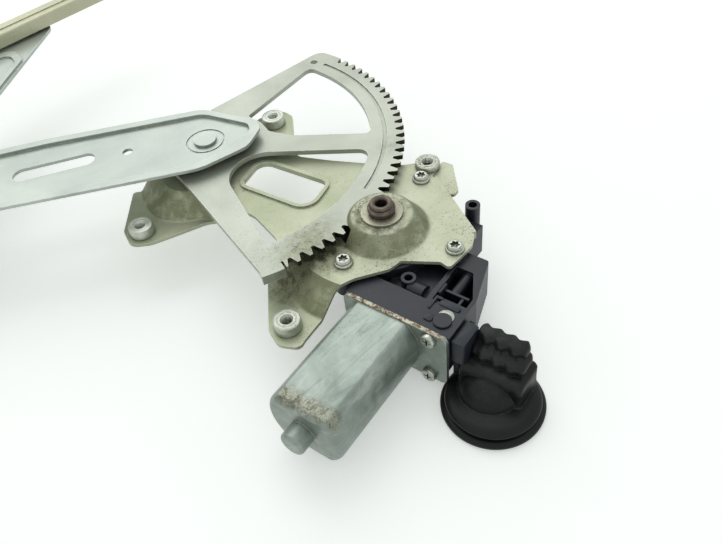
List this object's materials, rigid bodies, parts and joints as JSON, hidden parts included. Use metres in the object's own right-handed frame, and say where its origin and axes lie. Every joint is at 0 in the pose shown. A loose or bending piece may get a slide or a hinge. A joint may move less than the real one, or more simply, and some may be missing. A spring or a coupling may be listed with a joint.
{
  "type": "window regulator",
  "caption": "Scissor-arm car window regulator: stamped base plate, toothed sector with lift arm, crossed equaliser arm, glass and guide rails, and a worm-drive motor.",
  "frame": {"origin": "on the axis of the weld nut in the lower dropped tab, at the face that meets the door panel", "axes": "+X along the two rails, from the arm's end towards the motor; +Y the way the glass is lifted; +Z square to the base plate, from the door panel towards the glass"},
  "size_m": [0.5366, 0.4663, 0.0686],
  "materials": {
    "zinc": "satin zinc plate",
    "zinc_olive": "aged zinc plate",
    "zinc_bright": "bright zinc plate",
    "rail_zinc": "roll-formed, zinc plate",
    "steel_dark": "oiled dark steel",
    "steel_bright": "ground",
    "housing": "moulded, matt",
    "yoke": "passivated, mottled",
    "rubber": "moulded rubber",
    "nylon": "moulded nylon",
    "holder": "phenolic",
    "carbon": "carbon brush",
    "ferrite": "ground ferrite",
    "core": "laminated steel",
    "copper": "copper",
    "bronze": "sintered bronze"
  },
  "bodies": {
    "base": {"base_plate": "zinc_olive", "weld_nuts": "zinc_bright", "pivot_rivet": "zinc", "pinion_bush": "steel_dark", "gear_housing": "housing", "gear_cover": "housing", "motor_screws": "zinc_bright", "yoke": "yoke", "yoke_screws": "zinc_bright", "magnets": "ferrite", "brush_holder": "holder", "brushes": "carbon", "motor_bearings": "bronze", "connector_body": "housing", "connector_boot": "rubber", "mounting_sleeve": "housing"},
    "arm": {"sector_gear": "zinc", "lift_arm": "zinc", "stud_b": "zinc_bright"},
    "pinion": {"pinion_shaft": "steel_dark", "worm_wheel": "nylon"},
    "armature": {"armature_shaft": "steel_bright", "armature_core": "core", "windings": "copper", "commutator": "copper"},
    "equalizer": {"equalizer_upper": "zinc", "equalizer_lower": "zinc", "middle_pivot": "zinc_bright", "stud_c": "zinc_bright", "stud_d": "zinc_bright"},
    "slider_b": {"shoe_b": "nylon"},
    "slider_c": {"shoe_c": "nylon"},
    "slider_d": {"shoe_d": "nylon"},
    "rail_glass": {"glass_rail": "rail_zinc"},
    "rail_guide": {"guide_rail": "rail_zinc"}
  },
  "joints": [
    {"name": "arm_swing", "type": "hinge", "parent": "base", "child": "arm", "pos_m": [0.05225, 0.12652, 0.0205], "axis": [0, 0, 1], "range_deg": [-75, 18]},
    {"name": "pinion_spin", "type": "hinge", "parent": "base", "child": "pinion", "pos_m": [0.07186, 0.00266, 0.0205], "axis": [0, 0, 1], "range_deg": [-189.2, 782]},
    {"name": "armature_spin", "type": "hinge", "parent": "base", "child": "armature", "pos_m": [0.07663, -0.02676, -0.005], "axis": [-0.9871, -0.1599, 0], "continuous": true},
    {"name": "equalizer_swing", "type": "hinge", "parent": "arm", "child": "equalizer", "pos_m": [-0.10022, 0.2313, 0.0205], "axis": [0, 0, 1], "range_deg": [-53, 31]},
    {"name": "shoe_b_turn", "type": "hinge", "parent": "arm", "child": "slider_b", "pos_m": [-0.25268, 0.33609, 0.0205], "axis": [0, 0, 1], "range_deg": [-28, 17]},
    {"name": "shoe_c_turn", "type": "hinge", "parent": "equalizer", "child": "slider_c", "pos_m": [-0.25268, 0.12652, 0.0205], "axis": [0, 0, 1], "range_deg": [-17, 28]},
    {"name": "shoe_d_turn", "type": "hinge", "parent": "equalizer", "child": "slider_d", "pos_m": [0.05225, 0.33609, 0.0205], "axis": [0, 0, 1], "range_deg": [-17, 28]},
    {"name": "glass_rail_slide", "type": "slide", "parent": "slider_d", "child": "rail_glass", "axis": [1, 0, 0], "range_m": [-0.015, 0.015]},
    {"name": "guide_rail_slide", "type": "slide", "parent": "slider_c", "child": "rail_guide", "axis": [1, 0, 0], "range_m": [-0.04, 0.04]}
  ],
  "couplings": [
    {"joint": "pinion_spin", "follows": "arm_swing", "ratio": -10.4},
    {"joint": "shoe_b_turn", "follows": "equalizer_swing", "ratio": 0.5},
    {"joint": "shoe_c_turn", "follows": "equalizer_swing", "ratio": -0.5},
    {"joint": "shoe_d_turn", "follows": "equalizer_swing", "ratio": -0.5}
  ]
}
